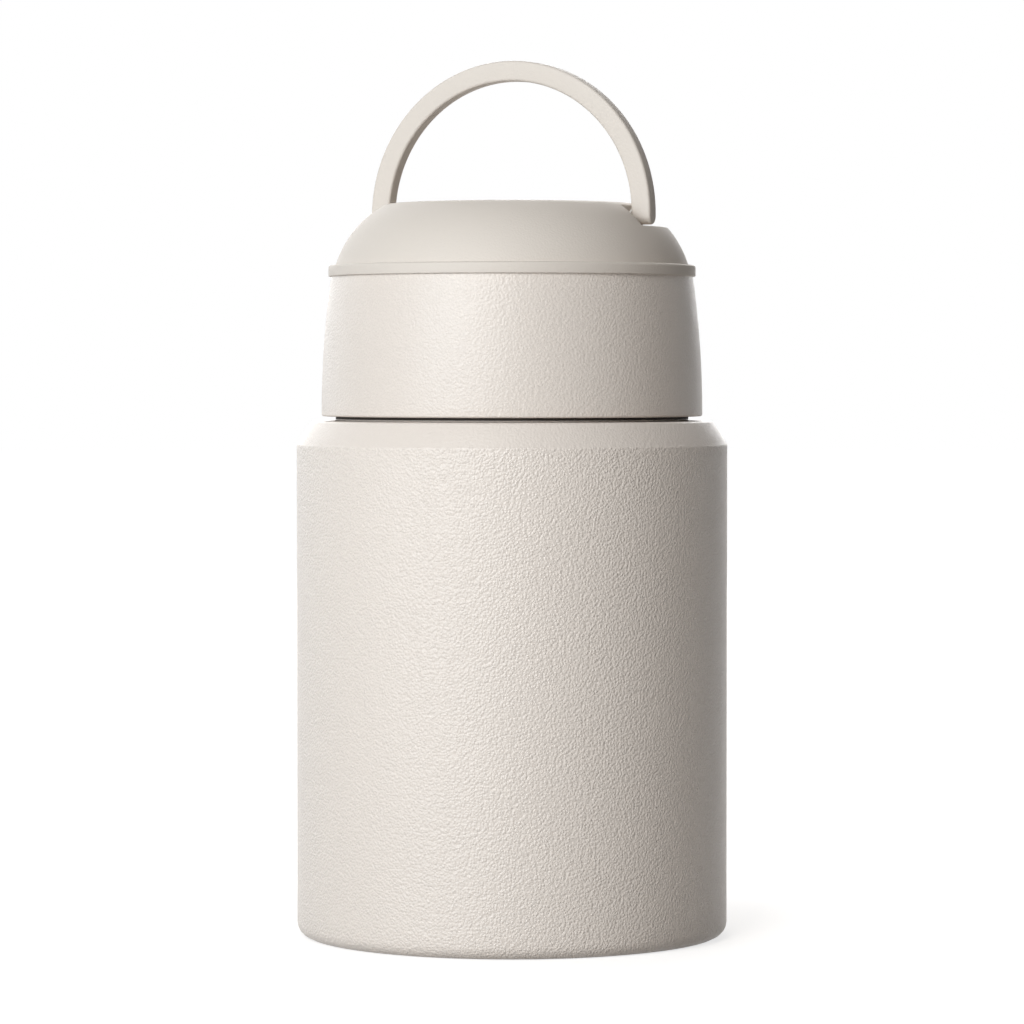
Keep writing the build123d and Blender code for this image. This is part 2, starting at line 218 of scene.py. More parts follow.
class Finishes(bpy.types.PropertyGroup):
    """Colours and textures of the jar's surfaces."""

    coat: colour("Coat", (0.732, 0.656, 0.592), "Powder coat on the steel")
    coat_roughness: share("Coat roughness", 0.36, "How dull the powder coat is")
    coat_gloss: share("Coat gloss", 0.40, "How strongly the powder coat reflects")
    pebble_size: length("Pebble size", 0.00057, "From one bump of the coat to the next")
    pebble_depth: length("Pebble depth", 0.00026, "From the coat's deepest dip to its highest bump")
    sleeve_pebble: share("Sleeve pebble", 0.47, "Bumps on the sleeve, against the body's")
    slope_pebble: share("Slope pebble", 0.38, "Bumps on the sloping shoulder, against the body's")
    # Darker copy of the coat on the sleeve and the sloping shoulder: painted shade that takes down the
    # light falling on them.
    sleeve_and_slope_shade: share("Sleeve and slope shade", 0.955, "Painted shade of the coat on the sleeve and the sloping shoulder")
    # Near-black colour of the collar band: painted shade for the dark gap under the lid.
    collar: colour("Collar", (0.045, 0.036, 0.030), "Painted shade on the collar, in the gap under the lid")
    plastic: colour("Plastic", (0.640, 0.578, 0.517), "Moulded dome, flange and handle")
    plastic_roughness: share("Plastic roughness", 0.58, "How dull the moulded plastic is")
    plug: colour("Plug", (0.76, 0.73, 0.68), "Moulded plug, on the food's side")
    steel: colour("Steel", (0.62, 0.61, 0.59), "Bare steel")
    copper: colour("Copper", (0.85, 0.48, 0.30), "Foil round the inner vessel")
    tablet: colour("Tablet", (0.28, 0.28, 0.29), "Getter tablet in the vacuum")
    glass: colour("Glass", (0.50, 0.56, 0.54), "Bead in the vent hole")
    silicone: colour("Silicone", (0.80, 0.79, 0.76), "Seal ring")
    foam: colour("Foam", (0.88, 0.86, 0.78), "Core of the lid")
    washer: colour("Washer", (0.84, 0.83, 0.80), "Washers at the pivots")


class StageSettings(bpy.types.PropertyGroup):
    """Camera, floor and fill light."""

    camera_turn: turn("Camera turn", 24.7, "Round from the jar's front, towards +X")
    camera_distance: length("Camera distance", 0.9925, "From the jar's axis")
    camera_height: length("Camera height", 0.1248, "Above the floor")
    aim_height: length("Aim height", 0.0934, "Height on the jar's axis that the camera faces")
    lens: number("Lens", 157.96, "Focal length in millimetres")
    sensor: number("Sensor", 36.0, "Sensor width in millimetres")
    floor_radius: length("Floor radius", 6.0, "Size of the round floor")
    floor_colour: colour("Floor colour", (0.42, 0.40, 0.38), "Floor, in the jar's own light")
    floor_white: share("Floor white", 0.74, "White that the seen floor adds at the jar's foot")
    shadow_reach: length("Shadow reach", 0.13, "Where the shadow on the seen floor has faded")
    fill: colour("Fill", (0.015, 0.014, 0.013), "Even light from all round")


# ---------------------------------------------------------------- sections and turned pieces
def round_corners(mesh, corners, offset, steps):
    """Round an outline's corners, each as far along its sides as the offset says."""
    bmesh.ops.bevel(
        mesh, geom=corners, offset=offset, offset_type="OFFSET",
        segments=steps, profile=0.5, affect="VERTICES", material=-1,
    )


class Section:
    """A run of points in the XZ plane, as radius and height, that a turned piece is spun from."""

    def __init__(self, mesh, radius, height):
        self.mesh = mesh
        self.before = set(mesh.verts)
        self.first = self.last = mesh.verts.new((radius, 0, height))
        self.rounds = []

    def line(self, radius, height, rounding=0.0):
        """Go straight to a place, whose corner may get a round."""
        vert = self.mesh.verts.new((radius, 0, height))
        self.mesh.edges.new((self.last, vert))
        self.last = vert
        if rounding:
            self.rounds.append((vert, rounding))

    def arc(self, centre, sweep, steps):
        """Go round a centre by an angle, which is counter-clockwise if it is positive."""
        spun = bmesh.ops.spin(
            self.mesh, geom=[self.last], cent=centre, axis=(0, -1, 0),
            angle=sweep, steps=steps, use_duplicate=False,
        )
        self.last = next(part for part in spun["geom_last"] if isinstance(part, bmesh.types.BMVert))

    def swell(self, radius, height, curve):
        """Go to a place along an arc that bends to the left if its radius is positive."""
        start = self.last.co.copy()
        half = (Vector((radius, 0, height)) - start) / 2
        left = Vector((-half.z, 0, half.x)).normalized()
        side = 1 if curve > 0 else -1
        centre = start + half + left * side * sqrt(curve**2 - half.length_squared)
        self.arc(centre, side * 2 * asin(half.length / abs(curve)), SWELL_STEPS)

    def close(self):
        """Join the last point to the first."""
        self.mesh.edges.new((self.last, self.first))

    def spin(self, sweep=2 * pi, start=0.0, steps=TURN_STEPS):
        """Round the corners, then turn the run about the jar's axis."""
        corners = []
        for vert, rounding in self.rounds:
            one, other = (edge.other_vert(vert).co - vert.co for edge in vert.link_edges)
            corners.append((vert, rounding * tan((pi - one.angle(other)) / 2)))
        for vert, offset in corners:
            round_corners(self.mesh, [vert], offset, ROUND_STEPS)
        verts = [vert for vert in self.mesh.verts if vert not in self.before]
        edges = list({edge for vert in verts for edge in vert.link_edges})
        bmesh.ops.rotate(self.mesh, verts=verts, matrix=Matrix.Rotation(start, 3, "Z"))
        bmesh.ops.spin(
            self.mesh, geom=verts + edges, cent=(0, 0, 0), axis=(0, 0, 1),
            angle=sweep, steps=steps, use_merge=sweep == 2 * pi, use_duplicate=False,
        )


def join_seams(mesh):
    """Merge what lies together and turn every face outwards."""
    bmesh.ops.remove_doubles(mesh, verts=mesh.verts, dist=MERGE_DISTANCE)
    bmesh.ops.recalc_face_normals(mesh, faces=mesh.faces)


def sheet_of(mesh, gauge):
    """Give a turned skin its thickness, inwards from the side that it was drawn on."""
    join_seams(mesh)
    bmesh.ops.solidify(mesh, geom=mesh.faces[:], thickness=gauge)


def thread(mesh, wall, depth, arc, start, height, sizes):
    """Add the ridges of a thread, standing out of a wall if the depth is positive, or else in."""
    inwards = -1 if depth > 0 else 1
    foot = wall + inwards * sizes.sink
    end_share = 0.8  # of the sink, so that a ridge's ends lie just inside its wall
    least = end_share * sizes.sink / (sizes.sink + abs(depth))
    steps = round(TURN_STEPS * arc / (2 * pi))
    for index in range(sizes.starts):
        first_turn = start + index * 2 * pi / sizes.starts
        corners = [
            mesh.verts.new((radius, 0, height + rise))
            for radius, rise in (
                (foot, -sizes.root / 2),
                (wall, -sizes.root / 2),
                (wall + depth, -sizes.tip / 2),
                (wall + depth, sizes.tip / 2),
                (wall, sizes.root / 2),
                (foot, sizes.root / 2),
            )
        ]
        before = set(mesh.verts) - set(corners)
        mesh.faces.new(corners)
        round_corners(mesh, corners[2:4], sizes.softness, CREST_STEPS)
        verts = [vert for vert in mesh.verts if vert not in before]
        edges = list({edge for vert in verts for edge in vert.link_edges})
        face = verts[0].link_faces[0]
        bmesh.ops.spin(
            mesh, geom=[face, *edges, *verts], cent=(0, 0, 0), axis=(0, 0, 1), angle=arc,
            dvec=(0, 0, sizes.lead * arc / (2 * pi) / steps), steps=steps, use_duplicate=False,
        )
        ridge = [vert for vert in mesh.verts if vert not in before]
        for vert in ridge:
            along = Vector((1, 0)).angle_signed(vert.co.xy.normalized(), 0.0)
            along = -along % (2 * pi) if along else 0.0
            from_end = min(along, arc - along) / sizes.run_in
            rise = least + (1 - least) * sin(min(max(from_end, 0.0), 1.0) * pi / 2)
            radius = foot + (vert.co.xy.length - foot) * rise
            vert.co.xy = vert.co.xy.normalized() * radius
        bmesh.ops.rotate(mesh, verts=ridge, matrix=Matrix.Rotation(first_turn, 3, "Z"))


def add_object(name, data):
    """Put an object into the scene."""
    made = bpy.data.objects.new(name, data)
    bpy.context.scene.collection.objects.link(made)
    return made


def finish_piece(name, mesh, body, slot, node, *surfaces):
    """Make a mesh an object that rides on a body and stands for its node."""
    for face in mesh.faces:
        face.smooth = True
    for edge in mesh.edges:
        edge.smooth = edge.calc_face_angle(0.0) < CRISP_ANGLE
    data = bpy.data.meshes.new(name)
    mesh.to_mesh(data)
    mesh.free()
    for surface in surfaces:
        data.materials.append(surface)
    piece = add_object(name, data)
    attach(piece, body)
    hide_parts(node)


def refinish(node, surface):
    """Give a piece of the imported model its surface."""
    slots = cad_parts[node].material_slots
    if not slots:
        raise RuntimeError(f"{node} has no material slot")
    for slot in slots:
        slot.material = surface


# ---------------------------------------------------------------- shader maths
class Reading:
    """A shader socket that carries one number, so that shader maths reads as plain Python."""

    def __init__(self, nodes, socket):
        self.nodes = nodes
        self.socket = socket

    def __add__(self, other):
        return self.nodes.maths("ADD", self, other)

    def __rsub__(self, other):
        return self.nodes.maths("SUBTRACT", other, self)

    def __mul__(self, other):
        return self.nodes.maths("MULTIPLY", self, other)

    def __truediv__(self, other):
        return self.nodes.maths("DIVIDE", self, other)


class Nodes:
    """A shader's node tree, which grows by plain calls."""

    def __init__(self, tree):
        self.tree = tree

    def node(self, kind, settings=None, *values, **named):
        """Any node: its settings first, then the values or links of its sockets."""
        node = self.tree.nodes.new(kind)
        for setting, value in (settings or {}).items():
            setattr(node, setting, value)
        sockets = [socket for socket in node.inputs if socket.enabled]
        for socket, value in zip(sockets, values):
            self.feed(socket, value)
        for name, value in named.items():
            wanted = name.replace("_", " ").title()
            self.feed(next(socket for socket in sockets if socket.name == wanted), value)
        return node

    def feed(self, socket, value):
        """Link a socket, or set it if the value is plain."""
        if isinstance(value, Reading):
            value = value.socket
        if isinstance(value, bpy.types.NodeSocket):
            self.tree.links.new(value, socket)
        elif socket.type == "RGBA":
            socket.default_value = (*value, 1.0)
        else:
            socket.default_value = value

    def maths(self, operation, *values):
        """A Math node on some values."""
        return Reading(self, self.node("ShaderNodeMath", {"operation": operation}, *values).outputs[0])

    def ramp(self, value, low, high, to_low=0.0, to_high=1.0):
        """A reading spread smoothly from one range to another."""
        node = self.node(
            "ShaderNodeMapRange", {"interpolation_type": "SMOOTHSTEP"},
            value, low, high, to_low, to_high,
        )
        return Reading(self, node.outputs[0])

    def blend(self, factor, one, other):
        """A colour between two."""
        node = self.node("ShaderNodeMix", {"data_type": "RGBA"}, factor, one, other)
        return next(socket for socket in node.outputs if socket.enabled)

    def seen(self):
        """1 for what the camera, a mirror or glass sees, and 0 for the light on the jar."""
        path = self.node("ShaderNodeLightPath")
        camera, glossy, through = (
            Reading(self, path.outputs[name])
            for name in ("Is Camera Ray", "Is Glossy Ray", "Is Transmission Ray")
        )
        return self.maths("MINIMUM", camera + glossy + through, 1.0)


class Surface(Nodes):
    """A material built from nodes round one Principled shader."""

    def __init__(self, name):
        self.material = bpy.data.materials.new(name)
        self.material.use_nodes = True
        super().__init__(self.material.node_tree)
        self.shader = next(node for node in self.tree.nodes if node.type == "BSDF_PRINCIPLED")
        self.place = self.node("ShaderNodeTexCoord").outputs["Object"]

    def set(self, **values):
        """Feed the main shader's sockets by name."""
        for name, value in values.items():
            wanted = name.replace("_", " ").title().replace("Ior", "IOR")
            self.feed(self.shader.inputs[wanted], value)

    def xyz(self):
        """The three numbers of the place."""
        parts = self.node("ShaderNodeSeparateXYZ", None, self.place)
        return [Reading(self, socket) for socket in parts.outputs]

    def vector(self, *numbers):
        """A vector from three numbers."""
        return self.node("ShaderNodeCombineXYZ", None, *numbers).outputs[0]

    def noise(self, scale, detail=2.0, roughness=0.5, place=None):
        """Soft noise, as a reading round one half."""
        node = self.node(
            "ShaderNodeTexNoise", {"normalize": True},
            vector=self.place if place is None else place,
            scale=scale, detail=detail, roughness=roughness,
        )
        return Reading(self, node.outputs[0])

    def cells(self, scale, smoothness):
        """Distance from the middles of rounded cells."""
        node = self.node(
            "ShaderNodeTexVoronoi", {"feature": "SMOOTH_F1"},
            vector=self.place, scale=scale, smoothness=smoothness,
        )
        return Reading(self, node.outputs["Distance"])

    def raise_by(self, height, depth):
        """Bumps of a height from 0 to 1, as deep as a length."""
        node = self.node("ShaderNodeBump", None, height=height, distance=depth, strength=1.0)
        self.set(normal=node.outputs[0])


def shade(tone, factor):
    """A colour made lighter or darker."""
    return tuple(min(part * factor, 1.0) for part in tone)


def powder_coat(name, finishes, pebble=1.0, tone=1.0, slope_start=None):
    """Satin powder coat, whose pebble fades and whose colour is darkened as painted shade above the
    height where a slope starts. A tone below 1 darkens all of it as painted shade.
    """
    surface = Surface(name)
    grains = surface.noise(scale=2 / finishes.pebble_size, detail=0.0)
    beads = 1 - surface.cells(scale=1 / finishes.pebble_size, smoothness=0.25)
    drift = surface.noise(scale=35)
    bead_share, drift_share = 0.7, 0.2
    lightest, darkest = 1.02, 0.965
    height = beads * bead_share + grains * (1 - bead_share)
    # A tone below 1 gives a darker copy of the coat, painted shade; the sleeve's coat is made so.
    light, dark = shade(finishes.coat, lightest * tone), shade(finishes.coat, darkest * tone)
    # The colour follows the grains, which also raise the pebble, so the pebble's dips are darker:
    # painted shade, with a random mottle from the drift.
    pit_shade_and_mottle = grains * (1 - drift_share) + drift * drift_share
    coat = surface.blend(surface.ramp(pit_shade_and_mottle, 0.3, 0.7), dark, light)
    if slope_start is not None:
        _, _, up = surface.xyz()
        blur = 0.0004
        sloping = surface.ramp(up, slope_start - blur, slope_start + blur)
        height = height * (1 - sloping * (1 - finishes.slope_pebble))
        # On the slope the coat takes a darker copy: painted shade for the light that the upward-facing
        # slope catches.
        coat = surface.blend(sloping, coat, shade(finishes.coat, finishes.sleeve_and_slope_shade))
    surface.raise_by(height, finishes.pebble_depth * pebble)
    rough, swing = finishes.coat_roughness, 0.04
    surface.set(
        base_color=coat,
        roughness=surface.ramp(grains, 0.25, 0.75, rough + swing, rough - swing),
        specular_ior_level=finishes.coat_gloss,
    )
    return surface.material


def moulded_plastic(name, tone, roughness):
    """Matte moulded plastic, or another matte surface such as the collar's painted shade, with a fine
    spark texture.
    """
    surface = Surface(name)
    spark = surface.noise(scale=2300, detail=1.0)
    drift = surface.noise(scale=28)
    surface.raise_by(spark, depth=0.00005)
    swing = 0.04
    surface.set(
        base_color=surface.blend(drift, shade(tone, 0.985), shade(tone, 1.015)),
        roughness=surface.ramp(spark, 0.3, 0.7, roughness + swing, roughness - swing),
        specular_ior_level=0.35,
    )
    return surface.material


def brushed_steel(name, tone, roughness):
    """Bare steel with fine lines round the jar's axis."""
    surface = Surface(name)
    across, along, up = surface.xyz()
    from_axis = surface.maths("SQRT", across * across + along * along)
    profile = from_axis * 0.7 + up * 1.3
    stretch, fineness = 1.5, 9000
    round_x, round_y = across / from_axis * stretch, along / from_axis * stretch
    lines_place = surface.vector(round_x, round_y, profile * fineness)
    lines = surface.noise(scale=1.0, detail=3.0, roughness=0.65, place=lines_place)
    smears = surface.noise(scale=60, detail=3.0, roughness=0.6)
    surface.raise_by(lines, depth=0.0000025)
    surface.set(
        base_color=surface.blend(lines * 0.6 + smears * 0.4, shade(tone, 0.86), shade(tone, 1.1)),
        metallic=1.0,
        roughness=surface.ramp(lines, 0.2, 0.8, roughness - 0.06, roughness + 0.08),
    )
    return surface.material


def copper_foil(name, tone):
    """Thin copper foil with soft creases from being wrapped."""
    surface = Surface(name)
    creases = surface.noise(scale=130, detail=4.0, roughness=0.6)
    surface.raise_by(creases, depth=0.00015)
    surface.set(
        base_color=surface.blend(creases, shade(tone, 0.85), shade(tone, 1.08)),
        metallic=1.0,
        roughness=surface.ramp(creases, 0.3, 0.7, 0.24, 0.4),
    )
    return surface.material


def pressed_alloy(name, tone):
    """Pressed metal powder."""
    surface = Surface(name)
    grains = surface.noise(scale=3500, detail=3.0, roughness=0.7)
    surface.raise_by(grains, depth=0.00003)
    surface.set(
        base_color=surface.blend(grains, shade(tone, 0.7), shade(tone, 1.3)),
        metallic=0.6,
        roughness=surface.ramp(grains, 0.2, 0.8, 0.6, 0.85),
    )
    return surface.material


def seal_glass(name, tone):
    """Greenish glass bead with a fire-polished skin."""
    surface = Surface(name)
    waves = surface.noise(scale=500)
    surface.raise_by(waves, depth=0.00002)
    surface.set(
        base_color=surface.blend(waves, shade(tone, 0.9), shade(tone, 1.08)),
        roughness=surface.ramp(waves, 0.2, 0.8, 0.06, 0.14),
        coat_weight=0.6,
    )
    return surface.material


def soft_silicone(name, tone):
    """Dull translucent-looking silicone with a faint bloom."""
    surface = Surface(name)
    bloom = surface.noise(scale=160, detail=3.0, roughness=0.6)
    skin = surface.noise(scale=3000)
    surface.raise_by(skin, depth=0.000006)
    surface.set(
        base_color=surface.blend(bloom, shade(tone, 0.95), shade(tone, 1.03)),
        roughness=surface.ramp(bloom, 0.3, 0.7, 0.5, 0.62),
        subsurface_weight=0.15,
        subsurface_radius=(0.002, 0.0018, 0.0016),
    )
    return surface.material


def rigid_foam(name, tone):
    """Cut foam with open cells."""
    surface = Surface(name)
    bubbles = surface.cells(scale=1400, smoothness=0.3)
    surface.raise_by(bubbles, depth=0.0003)
    surface.set(
        base_color=surface.blend(bubbles, shade(tone, 0.8), tone),
        roughness=surface.ramp(bubbles, 0.0, 0.6, 0.95, 0.8),
    )
    return surface.material


def find_surface(name, make, *values, **named):
    """A material that several pieces share, made once."""
    return bpy.data.materials.get(name) or make(name, *values, **named)


def body_coat(finishes, wall_top):
    """The coat of the body and base, whose pebble fades above the straight wall."""
    return find_surface("jar_body_coat", powder_coat, finishes, slope_start=wall_top)


def bare_steel(finishes):
    """The steel of the food space, the neck and the disc in the base."""
    return find_surface("jar_bare_steel", brushed_steel, finishes.steel, roughness=0.3)


def lid_plastic(finishes):
    """The plastic of the dome, flange and handle."""
    return find_surface(
        "jar_lid_plastic", moulded_plastic, finishes.plastic, finishes.plastic_roughness
    )


# ---------------------------------------------------------------- the vessel's pieces
class FOODJAR_OT_outer_shell(bpy.types.Operator):
    """Straight wall, sloping shoulder and threaded neck, pressed from one tube"""

    bl_idname = "food_jar.outer_shell"
    bl_label = "Outer shell"

    def execute(self, context):
        sizes, finishes = context.scene.jar_vessel, context.scene.jar_finishes
        ridges = context.scene.jar_thread
        shoulder_top = sizes.wall_top + sizes.shoulder_rise
        neck = sizes.body_radius - sizes.shoulder_width
        collar_top = shoulder_top + sizes.collar_height
        mesh = bmesh.new()
        section = Section(mesh, sizes.body_radius, shell_low.z)
        section.line(sizes.body_radius, sizes.wall_top, sizes.coat_edge)
        section.line(sizes.body_radius - sizes.shoulder_inset, shoulder_top, sizes.shoulder_round)
        section.line(neck + sizes.collar_step, shoulder_top, sizes.coat_edge)
        section.line(neck + sizes.collar_step, collar_top, sizes.coat_edge)
        section.line(neck, collar_top + sizes.collar_step, sizes.coat_edge)
        section.line(neck, shell_high.z)
        section.spin()
        sheet_of(mesh, sizes.gauge)
        height = shoulder_top + ridges.height
        thread(mesh, neck, ridges.neck_depth, ridges.neck_arc, 0.0, height, ridges)
        bmesh.ops.recalc_face_normals(mesh, faces=mesh.faces)
        # The collar band's faces take the near-black painted shade of the gap under the lid, the neck's
        # faces above it bare steel, and the rest the coat.
        for face in mesh.faces:
            middle = face.calc_center_median()
            on_neck = middle.z > shoulder_top and middle.xy.length < neck + sizes.collar_step
            face.material_index = 1 + int(middle.z > collar_top) if on_neck else 0
        # Painted shade: the collar's near-black colour stands in for the shade in the gap.
        collar = moulded_plastic("jar_collar_painted_shade", finishes.collar, roughness=0.7)
        surfaces = [body_coat(finishes, sizes.wall_top), collar, bare_steel(finishes)]
        finish_piece("jar_outer_shell", mesh, "vessel", "powder_coat", "outer_shell", *surfaces)
        return {"FINISHED"}


class FOODJAR_OT_base(bpy.types.Operator):
    """Base pressing with its foot ring, and the disc let into it"""

    bl_idname = "food_jar.base"
    bl_label = "Base"

    def execute(self, context):
        sizes, finishes = context.scene.jar_vessel, context.scene.jar_finishes
        recess = cover_high.z
        foot_inner = sizes.body_radius - sizes.base_corner - sizes.foot_width
        mesh = bmesh.new()
        section = Section(mesh, sizes.vent_radius, recess + sizes.dimple_rise)
        section.line(sizes.dimple_radius, recess + sizes.dimple_rise)
        section.line(sizes.dimple_radius, recess)
        section.line(foot_inner - sizes.foot_slope, recess, sizes.coat_edge)
        section.line(foot_inner, 0.0, sizes.coat_edge)
        section.line(sizes.body_radius, 0.0, sizes.base_corner)
        section.line(sizes.body_radius, shell_low.z)
        section.spin()
        sheet_of(mesh, sizes.base_gauge)
        coat = body_coat(finishes, sizes.wall_top)
        finish_piece("jar_base", mesh, "vessel", "powder_coat", "outer_base", coat)

        rim = cover_high.x
        mesh = bmesh.new()
        section = Section(mesh, 0.0, cover_low.z + sizes.cover_bead)
        section.line(sizes.cover_dish, cover_low.z + sizes.cover_bead, sizes.cover_bead)
        section.line(sizes.cover_dish + 2 * sizes.cover_bead, cover_low.z, sizes.cover_bead)
        section.line(rim, cover_low.z, sizes.cover_bead)
        section.line(rim, cover_high.z)
        section.line(0.0, cover_high.z)
        section.spin()
        join_seams(mesh)
        finish_piece("jar_base_cover", mesh, "vessel", "steel", "base_cover", bare_steel(finishes))
        return {"FINISHED"}


class FOODJAR_OT_inner_vessel(bpy.types.Operator):
    """Drawn steel cup that holds the food, with its rolled rim"""

    bl_idname = "food_jar.inner_vessel"
    bl_label = "Inner vessel"

    def execute(self, context):
        sizes, finishes = context.scene.jar_vessel, context.scene.jar_finishes
        inside = vessel_high.x - sizes.gauge
        mesh = bmesh.new()
        section = Section(mesh, 0.0, vessel_low.z + sizes.gauge)
        section.line(inside, vessel_low.z + sizes.gauge, sizes.vessel_corner)
        section.line(inside, sizes.inner_shoulder_low, sizes.vessel_bend)
        section.line(sizes.mouth_radius, sizes.inner_shoulder_high, sizes.vessel_bend)
        section.line(sizes.mouth_radius, vessel_high.z, sizes.mouth_round)
        section.line(sizes.body_radius - sizes.shoulder_width, vessel_high.z)
        section.spin()
        join_seams(mesh)
        above_floor = vessel_low.z + 2 * sizes.gauge
        floor_face = next(face for face in mesh.faces if face.calc_center_median().z < above_floor)
        if floor_face.normal.z < 0:
            bmesh.ops.reverse_faces(mesh, faces=mesh.faces)
        bmesh.ops.solidify(mesh, geom=mesh.faces[:], thickness=sizes.gauge)
        finish_piece("jar_inner_vessel", mesh, "vessel", "steel", "inner_vessel", bare_steel(finishes))
        return {"FINISHED"}


# ---------------------------------------------------------------- the lid's pieces
class FOODJAR_OT_lid_sleeve(bpy.types.Operator):
    """Powder-coated band round the lid, hemmed in at its lower edge"""

    bl_idname = "food_jar.lid_sleeve"
    bl_label = "Lid sleeve"

    def execute(self, context):
        sizes, finishes = context.scene.jar_lid, context.scene.jar_finishes
        gauge, foot, top = sizes.sleeve_gauge, sleeve_high.x, sleeve_high.x - sizes.sleeve_taper
        low, high = sleeve_low.z, sleeve_high.z
        mesh = bmesh.new()
        section = Section(mesh, foot - sizes.sleeve_hem, low)
        section.line(foot, low, sizes.hem_round)
        section.swell(top, high, sizes.sleeve_curve)
        section.line(top - gauge, high)
        section.swell(foot - gauge, low + gauge, -sizes.sleeve_curve)
        section.line(foot - sizes.sleeve_hem, low + gauge)
        section.close()
        section.spin()
        join_seams(mesh)
        # The sleeve takes the darker copy of the coat: painted shade for the light that falls on it.
        coat = powder_coat("jar_sleeve_coat", finishes, finishes.sleeve_pebble, finishes.sleeve_and_slope_shade)
        finish_piece("jar_lid_sleeve", mesh, "lid", "powder_coat", "lid_sleeve", coat)
        return {"FINISHED"}


class FOODJAR_OT_lid_body(bpy.types.Operator):
    """Moulded body of the lid: threaded skirt, ledge for the plug, and the flange on top"""

    bl_idname = "food_jar.lid_body"
    bl_label = "Lid body"

    def execute(self, context):
        sizes, finishes = context.scene.jar_lid, context.scene.jar_finishes
        ridges, vessel = context.scene.jar_thread, context.scene.jar_vessel
        top = sleeve_high.x - sizes.sleeve_taper
        flange = top + sizes.flange_lip
        under_sleeve = top - sizes.sleeve_gauge - sizes.sleeve_gap
        chamber = under_sleeve - sizes.lid_wall
        ledge = vessel.mouth_radius - sizes.plug_gap + sizes.ledge_gap
        ledge_top = seal_high.z + sizes.ledge_thickness
        bore = vessel.body_radius - vessel.shoulder_width + ridges.neck_depth + ridges.clearance
        edge = sizes.moulded_edge
        mesh = bmesh.new()
        section = Section(mesh, bore, body_low.z)
        section.line(body_high.x, body_low.z)
        section.swell(under_sleeve, sleeve_high.z, sizes.sleeve_curve)
        section.line(flange, sleeve_high.z, edge)
        section.line(flange, body_high.z, sizes.flange_round)
        section.line(chamber, body_high.z)
        section.line(chamber, ledge_top)
        section.line(ledge, ledge_top)
        section.line(ledge, seal_high.z)
        section.line(bore, seal_high.z)
        section.close()
        section.spin()
        low = vessel.wall_top + vessel.shoulder_rise + ridges.height - ridges.drop
        height = low + ridges.lead * ridges.lid_lag / (2 * pi)
        thread(mesh, bore, -ridges.lid_depth, ridges.lid_arc, ridges.lid_lag, height, ridges)
        join_seams(mesh)
        finish_piece("jar_lid_body", mesh, "lid", "lid_plastic", "lid_body", lid_plastic(finishes))
        return {"FINISHED"}


class FOODJAR_OT_plug_and_seal(bpy.types.Operator):
    """Inner cover that hangs in the mouth, and the silicone ring that it carries"""

    bl_idname = "food_jar.plug_and_seal"
    bl_label = "Plug and seal"

    def execute(self, context):
        sizes, finishes = context.scene.jar_lid, context.scene.jar_finishes
        outside = context.scene.jar_vessel.mouth_radius - sizes.plug_gap
        inside = outside - sizes.plug_wall
        lip, step = outside + sizes.retainer_step, sizes.retainer_step
        lip_top = seal_low.z - sizes.retainer_gap
        ledge_top = plug_high.z - sizes.plug_flange
        edge = sizes.moulded_edge
        mesh = bmesh.new()
        section = Section(mesh, 0.0, plug_low.z + sizes.plug_dish)
        section.line(sizes.dish_radius, plug_low.z + sizes.plug_dish, sizes.plug_dish)
        section.line(sizes.dish_radius + 2 * sizes.plug_dish, plug_low.z, sizes.plug_dish)
        section.line(outside, plug_low.z, sizes.plug_corner)
        section.line(outside, lip_top - sizes.retainer_width, edge)
        section.line(lip, lip_top - sizes.retainer_width + step, edge)
        section.line(lip, lip_top - step, edge)
        section.line(outside, lip_top, edge)
        section.line(outside, ledge_top)
        section.line(plug_high.x, ledge_top, edge)
        section.line(plug_high.x, plug_high.z, edge)
        section.line(inside, plug_high.z)
        section.line(inside, plug_low.z + sizes.plug_wall)
        section.line(0.0, plug_low.z + sizes.plug_wall)
        section.spin()
        join_seams(mesh)
        plastic = moulded_plastic("jar_plug_plastic", finishes.plug, roughness=0.42)
        finish_piece("jar_lid_plug", mesh, "lid", "plug_plastic", "lid_plug", plastic)

        inner, outer = outside + sizes.seal_gap, seal_high.x
        mesh = bmesh.new()
        section = Section(mesh, inner, seal_low.z)
        section.line(outer, seal_low.z, sizes.seal_round)
        section.line(outer, seal_high.z, sizes.seal_round)
        section.line(inner, seal_high.z)
        section.close()
        section.spin()
        join_seams(mesh)
        silicone = soft_silicone("jar_silicone", finishes.silicone)
        finish_piece("jar_seal_ring", mesh, "seal", "silicone", "seal_ring", silicone)
        return {"FINISHED"}


